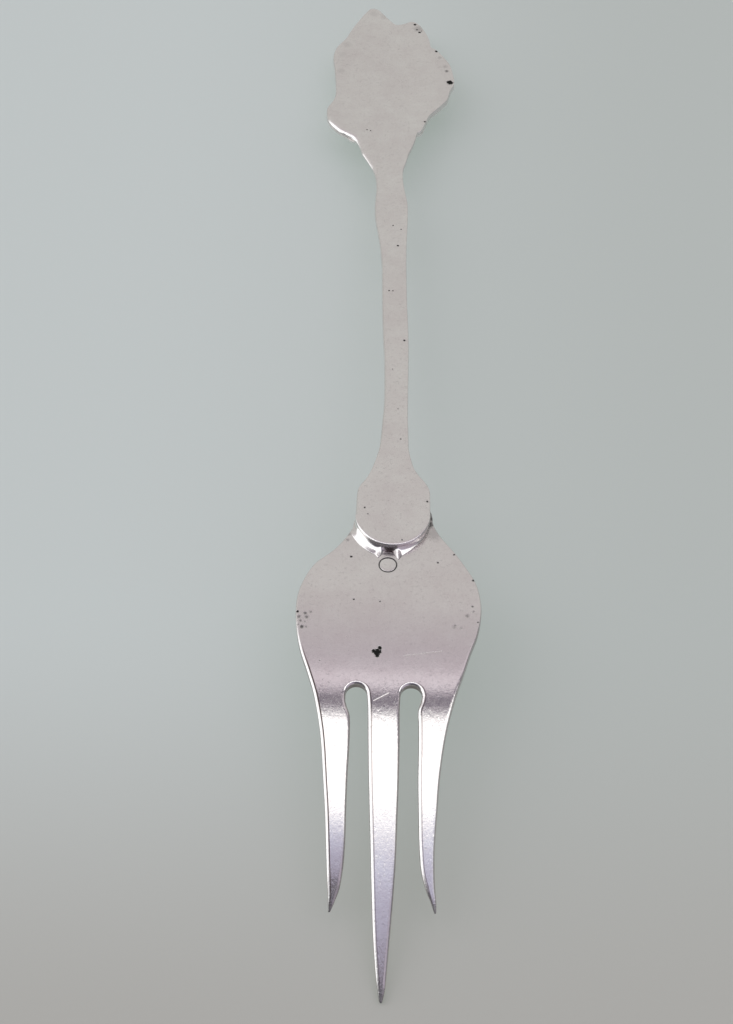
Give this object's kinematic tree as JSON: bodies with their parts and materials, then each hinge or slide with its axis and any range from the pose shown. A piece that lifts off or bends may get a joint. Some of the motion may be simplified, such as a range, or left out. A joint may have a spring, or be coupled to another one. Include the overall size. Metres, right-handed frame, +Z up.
{
  "type": "pastry fork",
  "caption": "Small silver pastry fork with bent tapering tines, keyhole slots, a flat-backed wavy stem on a round heel joint, and a finial of leaves round an open flower.",
  "frame": {"origin": "on the table under the middle of the fork's length and width, with the fork lying on its front", "axes": "+X across the fork, +Y from the tines to the finial, +Z up, out of the flat back"},
  "size_m": [0.0212, 0.15, 0.0107],
  "materials": {
    "silver_head": "worn polished silver with fine scratches and pits",
    "silver_pad": "polished silver with dark tarnish in the corners",
    "silver_pin": "filed silver, flush with the back",
    "silver_handle": "worn silver with casting pits",
    "silver_relief": "cast silver, tarnished in the hollows"
  },
  "bodies": {
    "root": {"fork_head": "silver_head", "heel_pad": "silver_pad", "joint_pin": "silver_pin", "handle_plate": "silver_handle", "stem_twig": "silver_relief", "heel_leaf": "silver_relief", "finial_leaves": "silver_relief", "flower_petals": "silver_relief", "flower_heart": "silver_relief"}
  },
  "joints": []
}
